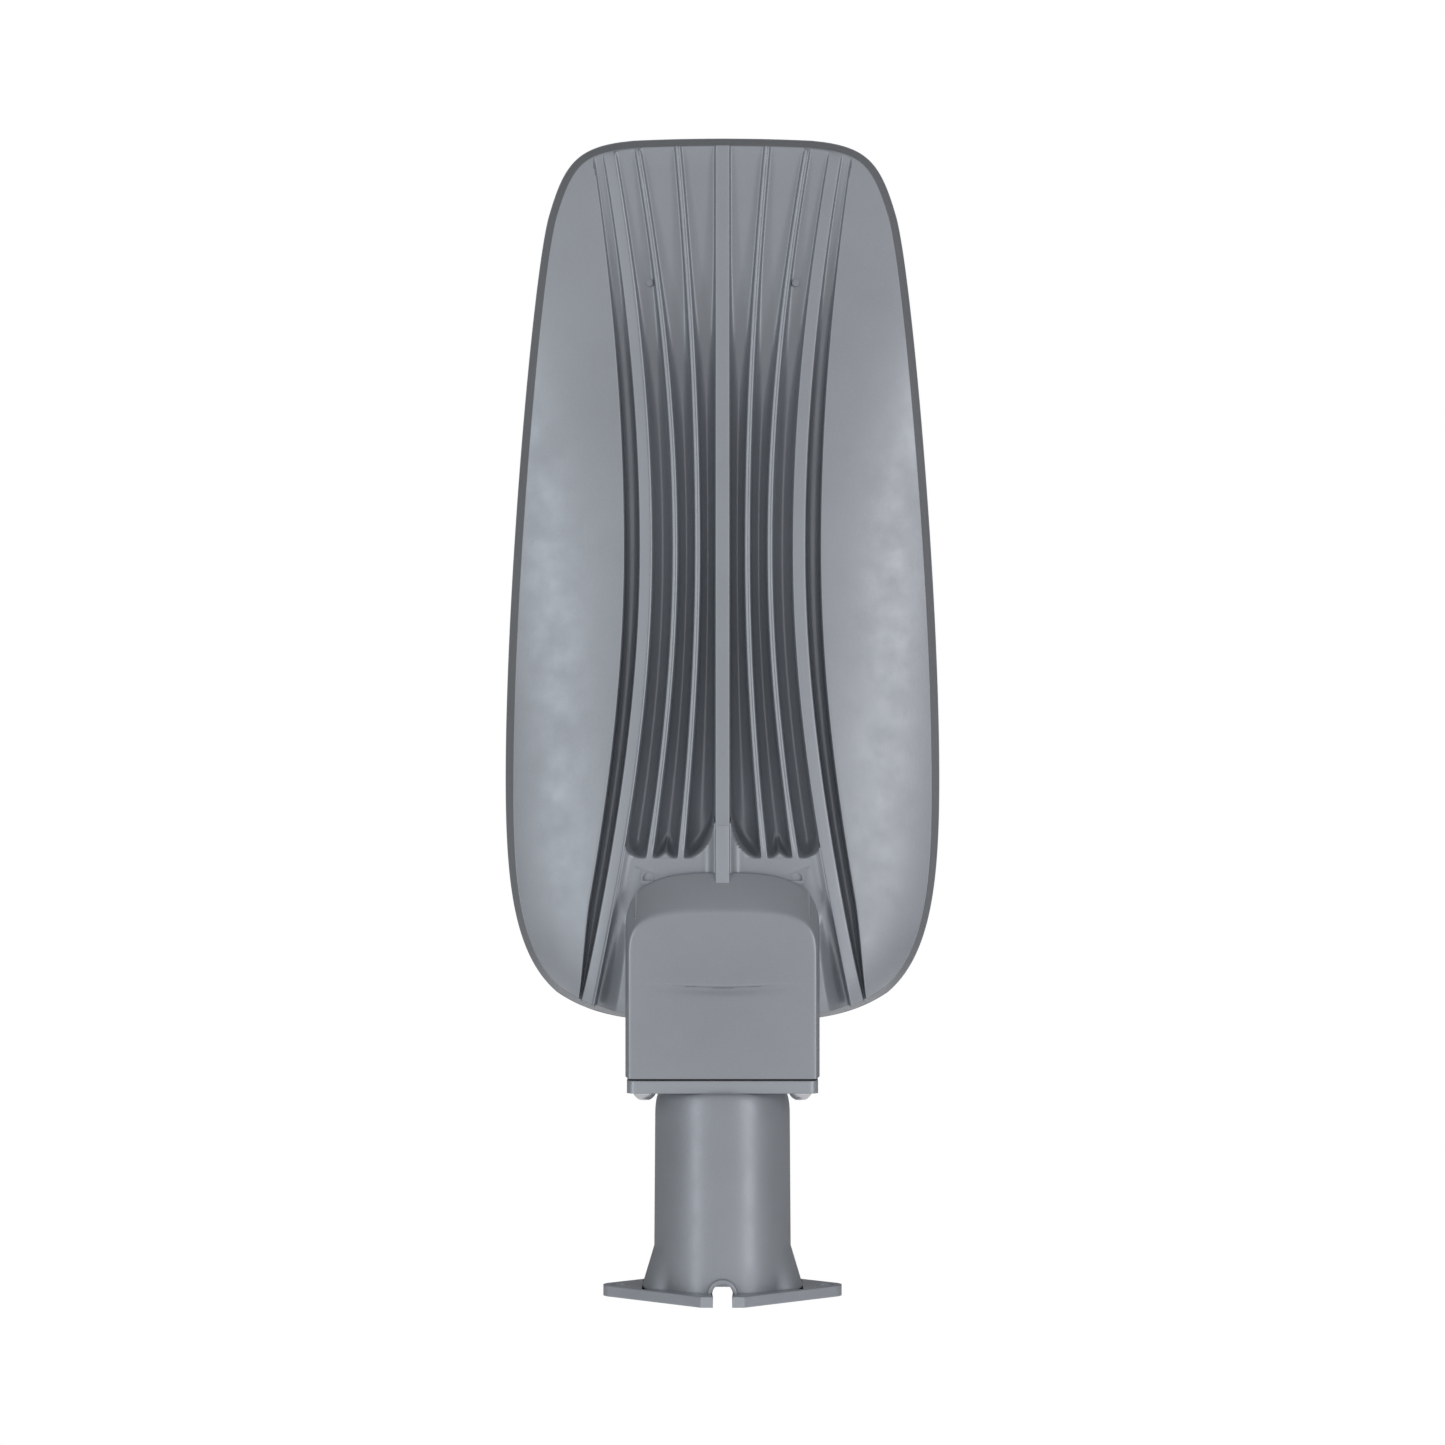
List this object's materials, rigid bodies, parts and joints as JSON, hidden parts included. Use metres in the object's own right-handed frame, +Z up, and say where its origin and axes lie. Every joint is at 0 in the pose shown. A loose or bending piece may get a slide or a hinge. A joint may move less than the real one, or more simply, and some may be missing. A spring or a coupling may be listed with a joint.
{
  "type": "solar street lamp head",
  "caption": "Die-cast LED lamp head of a split solar street lamp, with a finned back, battery bay, hinged service door and a flanged pole spigot.",
  "frame": {"origin": "centre of the spigot flange's mounting face", "axes": "+Z up the spigot axis towards the head's tip, +X across the head, the finned back faces -Y and the light side faces +Y. On a street the lamp lies down: -Y turns to the sky and +Y to the road."},
  "size_m": [0.228, 0.0948, 0.6037],
  "materials": {
    "casting": "satin powder coat",
    "frame": "satin powder coat",
    "fastener_steel": "zinc plated",
    "gasket_rubber": "matt",
    "clear_glass": "clear, tempered",
    "lens_plastic": "clear",
    "white_board": "white solder mask",
    "green_board": "green solder mask",
    "led_phosphor": "resin",
    "thermal_pad": "matt",
    "black_plastic": "moulded",
    "cell_sleeve": "shrink sleeve",
    "capacitor": "shrink sleeve",
    "inductor": "enamelled copper",
    "terminal_green": "moulded",
    "dome_white": "frosted",
    "button_red": "moulded",
    "pipe_clear": "clear",
    "brass": "plain",
    "lead_red": "silicone sleeve",
    "lead_black": "silicone sleeve"
  },
  "bodies": {
    "lamp": {"spigot_adaptor": "casting", "adaptor_plate": "casting", "adaptor_gasket": "gasket_rubber", "adaptor_screws": "fastener_steel", "pole_set_screws": "fastener_steel", "housing": "casting", "front_frame": "frame", "frame_gasket": "gasket_rubber", "glass_cover": "clear_glass", "frame_screws": "fastener_steel", "lens_array": "lens_plastic", "led_board": "white_board", "led_chips": "led_phosphor", "thermal_pad": "thermal_pad", "led_board_screws": "fastener_steel", "door_hinge_bracket": "fastener_steel", "hinge_bracket_screws": "fastener_steel", "door_hinge_pin": "fastener_steel", "battery_cells": "cell_sleeve", "battery_tray": "black_plastic", "battery_cap": "black_plastic", "battery_tie_rods": "fastener_steel", "battery_tray_screws": "fastener_steel", "controller_board": "green_board", "controller_board_screws": "fastener_steel", "controller_capacitors": "capacitor", "controller_inductor": "inductor", "controller_chips": "black_plastic", "terminal_block": "terminal_green", "terminal_screws": "fastener_steel", "cable_gland": "black_plastic", "gland_cap": "black_plastic", "gland_seal": "gasket_rubber", "gland_locknut": "black_plastic", "sensor_dome": "dome_white", "sensor_board": "green_board", "sensor_board_screws": "fastener_steel", "sensor_can": "fastener_steel", "button_bezel": "fastener_steel", "button_nut": "fastener_steel", "button_spring": "fastener_steel", "button_switch": "black_plastic", "light_pipe": "pipe_clear", "indicator_led": "led_phosphor", "earth_screw": "brass", "battery_lead": "lead_red", "led_lead": "lead_black"},
    "door": {"service_door": "frame", "door_gasket": "gasket_rubber", "door_screws": "fastener_steel", "breather_vent": "black_plastic"},
    "button": {"push_button": "button_red"}
  },
  "joints": [
    {"name": "door_hinge", "type": "hinge", "parent": "lamp", "child": "door", "pos_m": [0, 0.0304, 0.118], "axis": [-1, 0, 0], "range_deg": [0, 100]},
    {"name": "button_press", "type": "slide", "parent": "lamp", "child": "button", "axis": [0, -1, 0], "range_m": [0, 0.0015], "stiffness_N_per_m": 900, "springref_m": -0.001}
  ]
}
